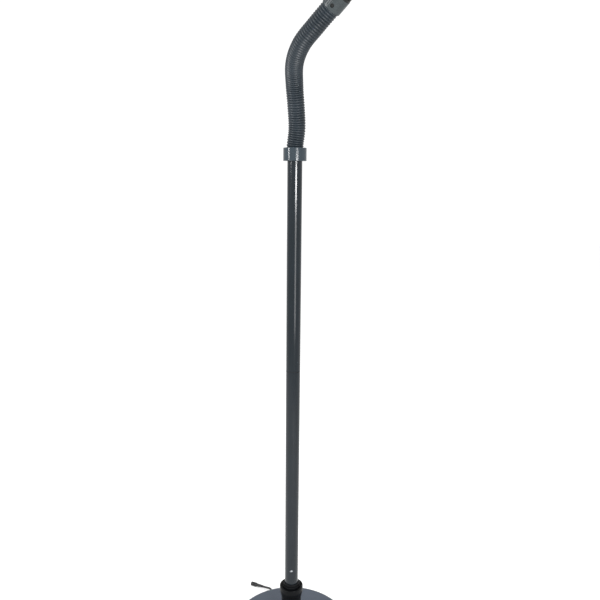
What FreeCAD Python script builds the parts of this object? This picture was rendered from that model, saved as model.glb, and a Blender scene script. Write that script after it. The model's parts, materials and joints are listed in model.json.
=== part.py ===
"""Floor-standing magnifying lamp with a ring light, built as separate pieces.

Millimetres, +Z up. The origin is the centre of the base pad's underside, below the pole.
The stand is modelled in that frame; the neck links, the ferrule, the knuckle and the head
are modelled in frames of their own and placed along the bent neck.
"""
import FreeCAD, Part
import math
import os
from FreeCAD import Placement, Rotation, Vector

SIZES = (
    # the base
    ("base_dia", 228.0, "base cover, outside"),
    ("base_height", 24.0, "floor to the top of the cover"),
    ("base_round", 8.0, "rounding of the cover's top edge"),
    ("cover_wall", 2.5, "wall of the base cover"),
    ("skirt_gap", 1.5, "floor to the cover's lower edge"),
    ("pad_inset", 7.0, "cover's side to the non-slip pad"),
    ("pad_thick", 2.5, ""),
    ("plate_inset", 5.0, "cover's side to the steel bottom plate"),
    ("plate_thick", 2.0, ""),
    ("weight_inset", 10.0, "cover's side to the cast weight"),
    ("boss_dia", 9.0, "screw bosses of the base cover"),
    ("boss_inset", 22.0, "cover's side to the circle of base screws"),
    ("base_screw_dia", 3.5, ""),
    # the hub that holds the pole
    ("hub_height", 84.0, "cover top to hub top"),
    ("hub_dia", 43.5, "rim at the hub's top"),
    ("hub_lip", 2.75, "width of the raised lip round the rim"),
    ("hub_groove", 3.0, "depth of the groove inside the lip"),
    ("hub_column_dia", 37.0, ""),
    ("hub_foot_dia", 64.0, ""),
    ("hub_foot_thick", 6.0, ""),
    ("seat_depth", 12.0, "tube seated below the groove"),
    ("ring_wall", 3.9, "lower step of the pole ring, beyond the tube"),
    ("ring_step", 6.5, "height of the lower step"),
    ("ring_top_wall", 1.9, "upper step of the pole ring, beyond the tube"),
    ("ring_top_step", 4.5, "height of the upper step"),
    ("spigot_length", 133.0, "inner tube that the pole slides over"),
    ("nipple_dia", 10.0, "hollow threaded nipple"),
    ("nipple_bore", 7.0, ""),
    # the pole
    ("tube_dia", 25.0, "both pole tubes"),
    ("tube_wall", 1.2, ""),
    ("tube_show", 423.5, "hub top to the pole joint"),
    ("upper_show", 361.5, "pole joint to the collar"),
    ("joint_reveal", 1.0, "dark line between the two tubes"),
    ("coupler_length", 84.0, ""),
    ("slip", 0.1, "radial gap between tubes that slide together"),
    ("button_dia", 5.6, "snap button in the lower tube"),
    ("button_rise", 36.0, "hub top to the button"),
    ("button_proud", 1.3, "button beyond the tube's face"),
    # collar and swivel
    ("collar_wall", 5.25, "collar beyond the sleeve's ribs"),
    ("collar_height", 21.5, ""),
    ("collar_grip", 11.0, "upper tube inside the collar"),
    ("stub_dia", 18.0, "swivelling stub at the foot of the neck"),
    ("stub_bore", 7.0, ""),
    ("run_gap", 0.05, "radial clearance of turning pins"),
    ("bush_flange", 2.5, ""),
    # the neck
    ("hose_dia", 28.5, "corrugated sleeve, over the ribs"),
    ("hose_wall", 1.2, ""),
    ("rib_depth", 1.5, ""),
    ("rib_pitch", 4.0, ""),
    ("hose_gap", 11.2, "room between sleeve links"),
    ("core_dia", 13.0, "flexible steel arm inside the sleeve"),
    ("core_bore", 8.0, ""),
    ("core_gap", 5.3, "room between core links"),
    # ferrule, fork and knuckle
    ("ferrule_wall", 1.25, "ferrule beyond the sleeve's ribs"),
    ("ferrule_length", 22.5, ""),
    ("socket_depth", 5.0, "sleeve inside the ferrule"),
    ("grip_groove", 0.9, "radius of the ferrule's grip grooves"),
    ("fork_plate", 3.0, ""),
    ("fork_spigot_dia", 16.0, ""),
    ("ear_thick", 4.5, ""),
    ("ear_width", 16.0, ""),
    ("pivot_reach", 18.0, "ferrule end to the tilt axis"),
    ("bolt_dia", 6.0, "tilt bolt"),
    ("washer_thick", 1.0, ""),
    ("tongue_dia", 16.0, ""),
    ("knob_dia", 22.0, ""),
    ("knob_thick", 12.0, ""),
    ("swivel_stub_dia", 14.0, "pin that carries the head"),
    ("head_reach", 30.0, "tilt axis to the head's rim"),
    # the head
    ("head_dia", 210.0, ""),
    ("head_rise", 20.0, "stub axis to the top face"),
    ("head_drop", 22.0, "stub axis to the housing's lower edge"),
    ("shoulder", 12.0, "bevel between side and top"),
    ("shell_wall", 2.4, ""),
    ("lens_dia", 127.0, "five-inch lens"),
    ("lens_edge", 2.5, "thickness at the rim"),
    ("lens_curve", 348.0, "radius of both faces, three dioptres"),
    ("lens_gap", 0.5, "lens to the tube round it"),
    ("bezel_thick", 2.4, ""),
    ("bezel_width", 11.0, ""),
    ("diffuser_thick", 1.8, ""),
    ("board_thick", 1.6, ""),
    ("head_screw_dia", 2.2, ""),
    ("lid_thick", 2.0, ""),
    ("lid_pin_dia", 2.5, ""),
    ("switch_length", 21.0, ""),
    ("switch_width", 15.0, ""),
    # the supply lead
    ("cable_dia", 4.6, "cable inside the pole"),
    ("cable_bend", 6.0, "radius where the cable turns up into the nipple"),
    ("cord_dia", 4.0, "lead outside the base"),
    ("exit_height", 7.0, "where the lead leaves the base"),
    ("relief_length", 9.6, "strain relief outside the cover"),
    ("connector_dia", 8.0, ""),
    ("connector_length", 27.0, ""),
)

# Foot of the sleeve, the six points where the neck bends, and the ferrule's foot.
# They are counted from the collar's top face on the pole axis.
NECK_ROUTE = (
    (3.0, -4.0, 30.8), (1.3, -14.0, 64.1), (-1.3, -26.0, 95.2), (-1.2, -51.0, 123.4),
    (9.3, -80.0, 145.6), (29.3, -102.0, 165.8), (50.2, -117.5, 186.5),
)
HEAD_REACH_DIRECTION = Vector(0.36, -0.93, 0.05)

# The supply lead leaves the base at this angle from +X. Its route runs from the strain relief
# to the connector: x and y count from the exit in the cover's side, z from the floor.
EXIT_ANGLE = 109.7
CORD_ROUTE = (
    (-3.236, 9.038, 7.0), (-5.831, 16.285, 7.0), (-10.5, 22.3, 5.8), (-16.9, 26.7, 4.1),
    (-24.5, 29.7, 4.1),
)

doc = FreeCAD.newDocument("MagnifyingLamp")


class Size(float):
    """A length that also knows its spreadsheet expression."""

    def __new__(cls, value, text):
        size = float.__new__(cls, value)
        size.text = text
        return size

    def __add__(self, other):
        return Size(float(self) + float(other), f"({self.text} + {text_of(other)})")

    def __radd__(self, other):
        return Size(float(other) + float(self), f"({text_of(other)} + {self.text})")

    def __sub__(self, other):
        return Size(float(self) - float(other), f"({self.text} - {text_of(other)})")

    def __rsub__(self, other):
        return Size(float(other) - float(self), f"({text_of(other)} - {self.text})")

    def __mul__(self, other):
        return Size(float(self) * float(other), f"({self.text} * {text_of(other)})")

    __rmul__ = __mul__

    def __truediv__(self, other):
        return Size(float(self) / float(other), f"({self.text} / {text_of(other)})")

    def __neg__(self):
        return Size(-float(self), f"(0 - {self.text})")


def text_of(value):
    return value.text if isinstance(value, Size) else f"{float(value):.6f}"


class Dimensions:
    """The spreadsheet's values by alias."""


def write_sheet():
    sheet = doc.addObject("Spreadsheet::Sheet", "Sizes")
    dims = Dimensions()
    for row, (alias, value, note) in enumerate(SIZES, 1):
        sheet.set(f"A{row}", alias)
        sheet.set(f"B{row}", str(value))
        sheet.set(f"C{row}", note)
        sheet.setAlias(f"B{row}", alias)
        setattr(dims, alias, Size(value, f"Sizes.{alias}"))
    doc.recompute()
    return dims


d = write_sheet()
NODES = {}


# ---------------------------------------------------------------- drawing helpers

def bind(obj, prop, value):
    """Set a property and, where the value comes from the sheet, its expression."""
    setattr(obj, prop, float(value))
    if isinstance(value, Size):
        obj.setExpression(prop, value.text)


def place(obj, base=(0, 0, 0), rotation=Rotation()):
    obj.Placement = Placement(Vector(*[float(v) for v in base]), rotation)
    for letter, value in zip("xyz", base):
        if isinstance(value, Size):
            obj.setExpression(f"Placement.Base.{letter}", value.text)
    return obj


ALONG_X = Rotation(Vector(0, 0, 1), Vector(1, 0, 0))
ALONG_Y = Rotation(Vector(0, 0, 1), Vector(0, 1, 0))


def cylinder(radius, height, base=(0, 0, 0), rotation=Rotation()):
    obj = doc.addObject("Part::Cylinder", "Cylinder")
    bind(obj, "Radius", radius)
    bind(obj, "Height", height)
    return place(obj, base, rotation)


def cone(low_radius, high_radius, height, base=(0, 0, 0), rotation=Rotation()):
    obj = doc.addObject("Part::Cone", "Cone")
    bind(obj, "Radius1", low_radius)
    bind(obj, "Radius2", high_radius)
    bind(obj, "Height", height)
    return place(obj, base, rotation)


def box(low, size, rotation=Rotation()):
    obj = doc.addObject("Part::Box", "Box")
    bind(obj, "Length", size[0])
    bind(obj, "Width", size[1])
    bind(obj, "Height", size[2])
    return place(obj, low, rotation)


def sphere(radius, centre):
    obj = doc.addObject("Part::Sphere", "Sphere")
    bind(obj, "Radius", radius)
    return place(obj, centre)


def fuse(*pieces):
    if len(pieces) == 1:
        return pieces[0]
    obj = doc.addObject("Part::MultiFuse", "Fusion")
    obj.Shapes = list(pieces)
    return obj


def cut(piece, *tools):
    obj = doc.addObject("Part::Cut", "Cut")
    obj.Base = piece
    obj.Tool = fuse(*tools)
    return obj


def common(*pieces):
    obj = doc.addObject("Part::MultiCommon", "Common")
    obj.Shapes = list(pieces)
    return obj


def group(*pieces):
    """Separate solids that share one node."""
    obj = doc.addObject("Part::Compound", "Group")
    obj.Links = list(pieces)
    return obj


def moved(obj, frame):
    """Carry a piece by a frame; its own placement goes on following the sheet."""
    holder = doc.addObject("Part::Compound", "Moved")
    holder.Links = [obj]
    holder.Placement = frame
    return holder


def node(name, obj, frame=None):
    """Name a finished piece, placed by its frame where it was modelled in one of its own."""
    if frame is not None:
        obj = moved(obj, frame)
    obj.Label = name
    NODES[name] = obj
    return obj


def origin_plane(body, role):
    return next(f for f in body.Origin.OriginFeatures if f.Role == role)


def pin_point(sketch, line, end, x, y):
    """Fix one end of a sketch line at (x, y) from the sketch's origin."""
    for kind, axis, value in (("DistanceX", -2, x), ("DistanceY", -1, y)):
        if float(value) == 0:
            sketch.addConstraint(_sketcher().Constraint("PointOnObject", line, end, axis))
            continue
        forward = float(value) > 0
        ends = (-1, 1, line, end) if forward else (line, end, -1, 1)
        number = sketch.addConstraint(_sketcher().Constraint(kind, *ends, abs(float(value))))
        if isinstance(value, Size):
            expression = value.text if forward else f"0 - {value.text}"
            sketch.setExpression(f"Constraints[{number}]", expression)


def _sketcher():
    import Sketcher
    return Sketcher


def outline(body, name, points, plane="XZ_Plane"):
    """A closed sketch through points whose coordinates follow the sheet."""
    sketch = body.newObject("Sketcher::SketchObject", name)
    sketch.AttachmentSupport = [(origin_plane(body, plane), "")]
    sketch.MapMode = "FlatFace"
    corners = [Vector(float(x), float(y), 0) for x, y in points]
    for start, end in zip(corners, corners[1:] + corners[:1]):
        sketch.addGeometry(Part.LineSegment(start, end), False)
    count = len(corners)
    for number in range(count):
        following = (number + 1) % count
        sketch.addConstraint(_sketcher().Constraint("Coincident", number, 2, following, 1))
    for number, (x, y) in enumerate(points):
        pin_point(sketch, number, 1, x, y)
    return sketch


def turned(points):
    """A body turned about Z from an outline of (radius, height) points."""
    body = doc.addObject("PartDesign::Body", "Turned")
    sketch = outline(body, "Profile", points)
    feature = body.newObject("PartDesign::Revolution", "Turn")
    feature.Profile = sketch
    feature.ReferenceAxis = (sketch, ["V_Axis"])
    feature.Angle = 360
    sketch.Visibility = False
    doc.recompute()
    return body


def padded(points, plane, low, length):
    """A body padded from an outline, starting at low along the plane's normal."""
    body = doc.addObject("PartDesign::Body", "Padded")
    sketch = outline(body, "Profile", points, plane)
    feature = body.newObject("PartDesign::Pad", "Pad")
    feature.Profile = sketch
    bind(feature, "Length", length)
    sketch.AttachmentOffset = Placement(Vector(0, 0, float(low)), Rotation())
    if isinstance(low, Size):
        sketch.setExpression("AttachmentOffset.Base.z", low.text)
    doc.recompute()
    return body


def round_rim(body, radius, height, rounding):
    """Round a turned body's circular edge at the given radius and height."""
    base = body.Tip
    names = []
    for number, edge in enumerate(base.Shape.Edges, 1):
        curve = edge.Curve
        if not isinstance(curve, Part.Circle):
            continue
        if abs(curve.Radius - float(radius)) < 0.02 and abs(curve.Center.z - float(height)) < 0.02:
            names.append(f"Edge{number}")
    feature = body.newObject("PartDesign::Fillet", "Round")
    feature.Base = (base, names)
    bind(feature, "Radius", rounding)
    doc.recompute()
    return body


def ring(inner, outer, low, high):
    return turned(((inner, low), (outer, low), (outer, high), (inner, high)))


def polar(radius, degrees):
    """A point at a radius and an angle, both coordinates tied to the radius."""
    return (radius * math.cos(math.radians(degrees)), radius * math.sin(math.radians(degrees)))


def turned_to(degrees):
    return Placement(Vector(), Rotation(Vector(0, 0, 1), degrees))


def hexagon(across_flats, low, high):
    corner = across_flats / math.sqrt(3)
    points = [polar(corner, 30 + 60 * k) for k in range(6)]
    return padded(points, "XY_Plane", low, high - low)


# ---------------------------------------------------------------- base

base_side = d.base_dia / 2
plate_low = d.pad_thick
weight_low = plate_low + d.plate_thick
cover_under = d.base_height - d.cover_wall
BASE_SCREW_ANGLES = (20, 155, 200, 335)
nut_seat = 16.5
nut_low = 10.8
relief_radius = 3.2


def base_screw_spots():
    return [polar(base_side - d.boss_inset, angle) for angle in BASE_SCREW_ANGLES]


exit_direction = Vector(math.cos(math.radians(EXIT_ANGLE)), math.sin(math.radians(EXIT_ANGLE)), 0)
exit_turn = Rotation(Vector(0, 0, 1), exit_direction)


def along_exit(distance):
    """A point on the exit's axis, counted outwards from the cover's side."""
    x, y = polar(base_side + distance, EXIT_ANGLE)
    return (x, y, d.exit_height)


def base_pad():
    node("base_pad", cylinder(base_side - d.pad_inset, d.pad_thick))


def base_plate():
    edge = base_side - d.plate_inset
    disc = cylinder(edge, d.plate_thick, (0, 0, plate_low))
    sinks = []
    for x, y in base_screw_spots():
        sinks.append(cone(d.base_screw_dia + 0.05, d.base_screw_dia / 2 + 0.05, d.plate_thick,
                          (x, y, plate_low)))
    notch = moved(box((edge - 3, -7, 0), (6, 14, 20)), turned_to(EXIT_ANGLE))
    node("base_plate", cut(disc, notch, *sinks))


def base_screws():
    screws = []
    for x, y in base_screw_spots():
        head = cone(d.base_screw_dia, d.base_screw_dia / 2, d.plate_thick, (x, y, plate_low))
        shank = cylinder(d.base_screw_dia / 2, 12, (x, y, weight_low))
        slot_a = box((x - 2, y - 0.3, plate_low - 0.01), (4, 0.6, 0.9))
        slot_b = box((x - 0.3, y - 2, plate_low - 0.01), (0.6, 4, 0.9))
        screws.append(cut(fuse(head, shank), slot_a, slot_b))
    node("base_screws", group(*screws))


def base_weight():
    disc = cylinder(base_side - d.weight_inset, cover_under - weight_low, (0, 0, weight_low))
    tools = [cylinder(d.nipple_dia / 2 + 0.3, d.base_height, (0, 0, 0)),
             cylinder(13.5, nut_seat, (0, 0, 0))]
    for x, y in base_screw_spots():
        tools.append(cylinder(d.boss_dia / 2 + 1, d.base_height, (x, y, 0)))
    channel = box((0, -(d.cable_dia + 5) / 2, 0), (base_side, d.cable_dia + 5, 13))
    tools.append(moved(channel, turned_to(EXIT_ANGLE)))
    node("base_weight", cut(disc, *tools))


def base_cover():
    outer = base_side
    inner = outer - d.cover_wall
    hole = d.nipple_dia / 2 + 0.3
    shell = turned(((hole, cover_under), (inner, cover_under), (inner, d.skirt_gap),
                    (outer, d.skirt_gap), (outer, d.base_height), (hole, d.base_height)))
    round_rim(shell, outer, d.base_height, d.base_round)
    round_rim(shell, inner, cover_under, d.base_round - d.cover_wall)
    bosses = []
    pilots = []
    for x, y in base_screw_spots():
        bosses.append(cylinder(d.boss_dia / 2, cover_under - weight_low + 0.5, (x, y, weight_low)))
        pilots.append(cylinder(d.base_screw_dia / 2 + 0.03, 13, (x, y, weight_low - 0.5)))
    mouth = cylinder(relief_radius + 0.05, 8, along_exit(-6), exit_turn)
    node("base_cover", cut(fuse(shell, *bosses), mouth, *pilots))


# ---------------------------------------------------------------- hub and pole

hub_top = d.base_height + d.hub_height
groove_floor = hub_top - d.hub_groove
seat_floor = groove_floor - d.seat_depth
web_top = d.base_height + d.hub_foot_thick + 2
tube_outer = d.tube_dia / 2
tube_inner = tube_outer - d.tube_wall
spigot_outer = tube_inner - d.slip
joint_low = hub_top + d.tube_show
joint_high = joint_low + d.joint_reveal
collar_low = joint_high + d.upper_show
collar_top = collar_low + d.collar_height
tube_end = collar_low + d.collar_grip
button_height = hub_top + d.button_rise


def hub_socket():
    rim = d.hub_dia / 2
    column = d.hub_column_dia / 2
    foot = d.hub_foot_dia / 2
    foot_top = d.base_height + d.hub_foot_thick
    hole = d.nipple_dia / 2 + 0.3
    body = turned((
        (hole, d.base_height), (foot, d.base_height), (foot, foot_top), (column, foot_top),
        (column, hub_top - 24), (rim, hub_top - 9), (rim, hub_top), (rim - d.hub_lip, hub_top),
        (rim - d.hub_lip, groove_floor), (tube_outer + 0.05, groove_floor),
        (tube_outer + 0.05, seat_floor), (spigot_outer + 0.05, seat_floor),
        (spigot_outer + 0.05, web_top), (hole, web_top)))
    round_rim(body, foot, foot_top, 2.0)
    round_rim(body, column, foot_top, 4.0)
    round_rim(body, rim, hub_top, 0.8)
    node("hub_socket", body)


def hub_spigot():
    bore = spigot_outer - 2
    low = web_top
    plug = low + 8
    tube = turned(((d.nipple_dia / 2, low), (spigot_outer, low), (spigot_outer, low + d.spigot_length),
                   (bore, low + d.spigot_length), (bore, plug), (d.nipple_dia / 2, plug)))
    window = cylinder(d.button_dia / 2 + 0.3, 16, (0, -16, button_height), ALONG_Y)
    node("hub_spigot", cut(tube, window))


def hub_nipple():
    node("hub_nipple", ring(d.nipple_bore / 2, d.nipple_dia / 2, 10.5, web_top + 7.5))


def hub_nut():
    nut = cut(hexagon(17.0, nut_low, nut_seat - 1.2), cylinder(d.nipple_dia / 2, 20, (0, 0, 0)))
    node("hub_nut", nut)


def hub_washer():
    node("hub_washer", ring(d.nipple_dia / 2, 12.0, nut_seat - 1.2, nut_seat))


def pole_ring():
    step = groove_floor + d.ring_step
    top = step + d.ring_top_step
    wide = tube_outer + d.ring_wall
    narrow = tube_outer + d.ring_top_wall
    body = turned(((tube_outer + 0.05, groove_floor), (wide, groove_floor), (wide, step),
                   (narrow, step), (narrow, top), (tube_outer + 0.05, top)))
    round_rim(body, wide, step, 0.8)
    round_rim(body, narrow, top, 0.6)
    node("pole_ring", body)


def lower_tube():
    tube = ring(tube_inner, tube_outer, seat_floor, joint_low)
    hole = cylinder(d.button_dia / 2 + d.run_gap, 16, (0, -16, button_height), ALONG_Y)
    node("lower_tube", cut(tube, hole))


def tube_coupler():
    half = d.coupler_length / 2
    bore = spigot_outer - 2
    flange = tube_outer - 0.4
    node("tube_coupler", turned((
        (bore, joint_low - half), (spigot_outer, joint_low - half), (spigot_outer, joint_low + 0.05),
        (flange, joint_low + 0.05), (flange, joint_high - 0.05), (spigot_outer, joint_high - 0.05),
        (spigot_outer, joint_high + half), (bore, joint_high + half))))


def upper_tube():
    node("upper_tube", ring(tube_inner, tube_outer, joint_high, tube_end))


def snap_button():
    """Pin with a domed end; it is pushed towards the pole's axis to free the tube."""
    face = tube_outer + d.button_proud
    length = 6.6
    pin = cylinder(d.button_dia / 2, length, (0, -face, button_height), ALONG_Y)
    dome = sphere(4.2, (0, -(face - 4.2), button_height))
    crop = common(pin, dome)
    tail = cylinder(d.button_dia / 2, length - 1.2, (0, -(face - 1.2), button_height), ALONG_Y)
    node("snap_button", fuse(crop, tail))


def snap_spring():
    """Leaf that pushes the button out, stepped back to the inner tube's wall at its foot."""
    front = tube_outer + d.button_proud - 6.6
    wall = spigot_outer - 2 - 0.7
    strip = box((-3, -front, button_height - 30), (6, 0.5, 34))
    step = box((-3, -wall, button_height - 30.5), (6, wall - front + 0.5, 0.5))
    foot = box((-3, -wall, button_height - 44), (6, 0.5, 14))
    node("snap_spring", fuse(strip, step, foot))


# ---------------------------------------------------------------- collar and swivel

def collar():
    outer = d.hose_dia / 2 + d.collar_wall
    grip = tube_outer + 0.05
    web_low = tube_end + d.bush_flange + 0.1
    web_high = web_low + 2.4
    recess = d.hose_dia / 2 + 0.95
    body = turned((
        (grip, collar_low), (outer, collar_low), (outer, collar_top), (recess, collar_top),
        (recess, web_high), (d.stub_dia / 2 + 0.5, web_high), (d.stub_dia / 2 + 0.5, web_low),
        (grip, web_low)))
    for height in (collar_low, collar_top):
        round_rim(body, outer, height, 0.8)
    screw_hole = cylinder(2.05, 12, (0, d.tube_dia / 2, collar_low + 5.5), ALONG_Y)
    node("collar", cut(body, screw_hole))


def collar_screw():
    pin = cylinder(2.0, 6.6, (0, tube_outer + 0.05, collar_low + 5.5), ALONG_Y)
    socket = cylinder(1.1, 3, (0, tube_outer + 4.2, collar_low + 5.5), ALONG_Y)
    node("collar_screw", cut(pin, socket))


def collar_bush():
    bore = d.stub_dia / 2 + d.run_gap
    node("collar_bush", turned((
        (bore, tube_end - 30), (tube_inner - 0.05, tube_end - 30), (tube_inner - 0.05, tube_end + 0.05),
        (tube_outer - 0.1, tube_end + 0.05), (tube_outer - 0.1, tube_end + d.bush_flange),
        (bore, tube_end + d.bush_flange))))


neck_foot = tube_end + d.bush_flange + 0.1 + 2.4 + 0.3 + 2.7


def neck_stub():
    pin = d.stub_dia / 2
    flange_low = neck_foot - 2.7
    low = tube_end - 36
    groove = tube_end - 32.4
    node("neck_stub", turned((
        (d.stub_bore / 2, low), (pin, low), (pin, groove), (pin - 0.8, groove),
        (pin - 0.8, groove + 1.3), (pin, groove + 1.3), (pin, flange_low), (13.0, flange_low),
        (13.0, neck_foot), (d.stub_bore / 2, neck_foot))))


def stub_circlip():
    pin = d.stub_dia / 2
    groove = tube_end - 32.4
    clip = ring(pin - 0.75, pin + 1.6, groove + 0.05, groove + 1.25)
    gap = box((-2.5, 4, groove), (5, 10, 2))
    node("stub_circlip", cut(clip, gap))


# ---------------------------------------------------------------- neck

def neck_frames():
    """Frame of each neck link: its foot on the route, +Z along it, +X near the world's X."""
    foot = Vector(0, 0, float(neck_foot))
    top = float(collar_top)
    points = [foot] + [Vector(x, y, top + z) for x, y, z in NECK_ROUTE]
    frames = []
    for start, end in zip(points, points[1:]):
        along = end - start
        frames.append((frame_along(start, along), along.Length))
    return frames, points[-1]


def frame_along(start, z_axis, x_hint=Vector(1, 0, 0)):
    z_axis = Vector(z_axis).normalize()
    x_axis = (x_hint - z_axis * x_hint.dot(z_axis)).normalize()
    return Placement(start, Rotation(x_axis, z_axis.cross(x_axis), z_axis, "ZXY"))


NECK_FRAMES, neck_end = neck_frames()
LAST_LINK = len(NECK_FRAMES) - 1


def foot_lift(radius):
    """How far up the first link a ring of this radius starts, to clear the level stub."""
    lean = NECK_FRAMES[0][0].Rotation.multVec(Vector(0, 0, 1)).getAngle(Vector(0, 0, 1))
    return radius * math.tan(lean)


def hose_link(number, frame, length):
    """One link of the corrugated sleeve: a tube with rib grooves cut round it."""
    low = foot_lift(d.hose_dia / 2) if number == 0 else d.hose_gap / 2
    high = length - d.hose_gap / 2
    if number == LAST_LINK:
        high = length + (d.socket_depth - 0.5)
    outer = d.hose_dia / 2
    root = outer - d.rib_depth
    bore = root - d.hose_wall
    body = turned(((bore, low), (outer, low), (outer, high), (bore, high)))
    half = d.rib_pitch / 4
    start = low + d.rib_pitch / 2
    sketch = outline(body, "RibCut", (
        (root, start - half / 2), (outer + 0.5, start - half * 1.5),
        (outer + 0.5, start + half * 1.5), (root, start + half / 2)))
    groove = body.newObject("PartDesign::Groove", "Rib")
    groove.Profile = sketch
    groove.ReferenceAxis = (sketch, ["V_Axis"])
    groove.Angle = 360
    doc.recompute()
    count = int((float(high) - float(low)) / float(d.rib_pitch))
    pattern = body.newObject("PartDesign::LinearPattern", "Ribs")
    pattern.Originals = [groove]
    pattern.Direction = (sketch, ["V_Axis"])
    pattern.Occurrences = count
    bind(pattern, "Length", d.rib_pitch * (count - 1))
    body.Tip = pattern
    sketch.Visibility = False
    doc.recompute()
    node(f"hose_{number}", body, frame)


def core_link(number, frame, length):
    low = foot_lift(d.core_dia / 2) if number == 0 else d.core_gap / 2
    high = length - d.core_gap / 2
    if number == LAST_LINK:
        high = length + (d.socket_depth - 0.5)
    node(f"core_{number}", ring(d.core_bore / 2, d.core_dia / 2, low, high), frame)


def neck_links():
    for number, (frame, length) in enumerate(NECK_FRAMES):
        hose_link(number, frame, length)
        core_link(number, frame, length)


# ---------------------------------------------------------------- ferrule and fork

neck_direction = NECK_FRAMES[LAST_LINK][0].Rotation.multVec(Vector(0, 0, 1))
head_direction = Vector(HEAD_REACH_DIRECTION).normalize()
tilt_axis = neck_direction.cross(head_direction).normalize()
ferrule_frame = frame_along(neck_end, neck_direction, tilt_axis)
pivot_along = d.ferrule_length + d.pivot_reach
pivot = neck_end + neck_direction * float(pivot_along)
ferrule_outer = d.hose_dia / 2 + d.ferrule_wall
ear_outer = ferrule_outer - 0.6
ear_inner = ear_outer - d.ear_thick
SCREW_ANGLE = -101


def ferrule():
    outer = ferrule_outer
    spigot = d.fork_spigot_dia / 2 + 0.05
    socket = d.hose_dia / 2 + 0.1
    body = turned(((socket, 0), (outer, 0), (outer, d.ferrule_length), (spigot, d.ferrule_length),
                   (spigot, d.socket_depth), (socket, d.socket_depth)))
    round_rim(body, outer, 0, 0.7)
    tools = []
    for angle in range(125, 246, 12):
        x, y = polar(outer + 0.25, angle)
        tools.append(cylinder(d.grip_groove, d.ferrule_length - 6, (x, y, 3)))
    cross = Rotation(Vector(0, 0, 1), Vector(*[float(v) for v in polar(1.0, SCREW_ANGLE)], 0))
    x, y = polar(outer - 2.4, SCREW_ANGLE)
    tools.append(cylinder(2.9, 4, (x, y, 7.5), cross))
    x, y = polar(d.fork_spigot_dia / 2 - 2, SCREW_ANGLE)
    tools.append(cylinder(1.6, 12, (x, y, 7.5), cross))
    node("ferrule", cut(body, *tools), ferrule_frame)


def ferrule_screw():
    outer = ferrule_outer
    cross = Rotation(Vector(0, 0, 1), Vector(*[float(v) for v in polar(1.0, SCREW_ANGLE)], 0))
    x, y = polar(outer - 2.4, SCREW_ANGLE)
    head = cylinder(2.7, 1.5, (x, y, 7.5), cross)
    x, y = polar(outer - 7.2, SCREW_ANGLE)
    shank = cylinder(1.5, 5, (x, y, 7.5), cross)
    node("ferrule_screw", fuse(head, shank), ferrule_frame)


def head_fork():
    """Plate and spigot that the ferrule holds, with two ears for the tilt bolt."""
    plate_low = d.ferrule_length
    plate = cylinder(ear_outer, d.fork_plate, (0, 0, plate_low))
    spigot = cylinder(d.fork_spigot_dia / 2, d.ferrule_length - d.socket_depth - 0.7,
                      (0, 0, d.socket_depth + 0.7))
    bar = box((-ear_outer, -d.ear_width / 2, plate_low),
              (ear_outer * 2, d.ear_width, d.pivot_reach))
    tip = cylinder(d.ear_width / 2, ear_outer * 2, (-ear_outer, 0, pivot_along), ALONG_X)
    envelope = cylinder(ear_outer, d.ferrule_length + d.pivot_reach, (0, 0, plate_low))
    slot = box((-ear_inner, -20, plate_low + d.fork_plate), (ear_inner * 2, 40, 60))
    ears = cut(common(fuse(bar, tip), envelope), slot)
    hole = cylinder(d.bolt_dia / 2 + 0.02, 60, (-30, 0, pivot_along), ALONG_X)
    shank_hole = cylinder(3.5, 40, (0, 0, 0))
    x, y = polar(d.fork_spigot_dia / 2 - 1.0, SCREW_ANGLE)
    cross = Rotation(Vector(0, 0, 1), Vector(*[float(v) for v in polar(1.0, SCREW_ANGLE)], 0))
    screw_hole = cylinder(1.55, 6, (x, y, 7.5), cross)
    node("head_fork", cut(fuse(plate, spigot, ears), hole, shank_hole, screw_hole), ferrule_frame)


tilt_frame = Placement(pivot, ferrule_frame.Rotation)


def tilt_bolt():
    shank = cylinder(d.bolt_dia / 2, ear_outer * 2 + d.knob_thick - 1.5,
                     (-(ear_outer + d.knob_thick - 1.5), 0, 0), ALONG_X)
    head = cylinder(5.0, 3.2, (ear_outer, 0, 0), ALONG_X)
    round_head = cone(5.0, 3.6, 1.0, (ear_outer + 3.2, 0, 0), ALONG_X)
    node("tilt_bolt", fuse(shank, head, round_head), tilt_frame)


def tilt_washers():
    washers = []
    for low in (-ear_inner, ear_inner - d.washer_thick):
        disc = cylinder(7.0, d.washer_thick, (low, 0, 0), ALONG_X)
        hole = cylinder(d.bolt_dia / 2 + 0.02, 60, (-30, 0, 0), ALONG_X)
        washers.append(cut(disc, hole))
    node("tilt_washers", group(*washers), tilt_frame)


def tilt_knob():
    """Fluted hand knob on the bolt's end."""
    low = -(ear_outer + 0.4 + d.knob_thick)
    rim = cylinder(d.knob_dia / 2, d.knob_thick - 3, (low, 0, 0), ALONG_X)
    boss = cylinder(6.5, d.knob_thick, (low, 0, 0), ALONG_X)
    tools = [cylinder(d.bolt_dia / 2 + d.run_gap, d.knob_thick, (low + 1.6, 0, 0), ALONG_X)]
    for angle in range(0, 360, 60):
        y, z = polar(d.knob_dia / 2 + 2.0, angle)
        tools.append(cylinder(3.6, d.knob_thick, (low - 0.5, y, z), ALONG_X))
    node("tilt_knob", cut(fuse(rim, boss), *tools), tilt_frame)


# ---------------------------------------------------------------- head frame and knuckle

head_up = Vector(0, 0, 1) - head_direction * head_direction.z
head_up.normalize()
head_across = head_up.cross(head_direction).normalize()
rim = d.head_dia / 2
head_centre = pivot + head_direction * float(d.head_reach + rim)
head_frame = Placement(head_centre, Rotation(head_across, -head_direction, head_up, "ZXY"))
knuckle_frame = frame_along(pivot, head_direction, tilt_axis)
boss_face = d.head_reach - 12.0
tongue_half = ear_inner - d.washer_thick - 0.15
stub_radius = d.swivel_stub_dia / 2


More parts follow.
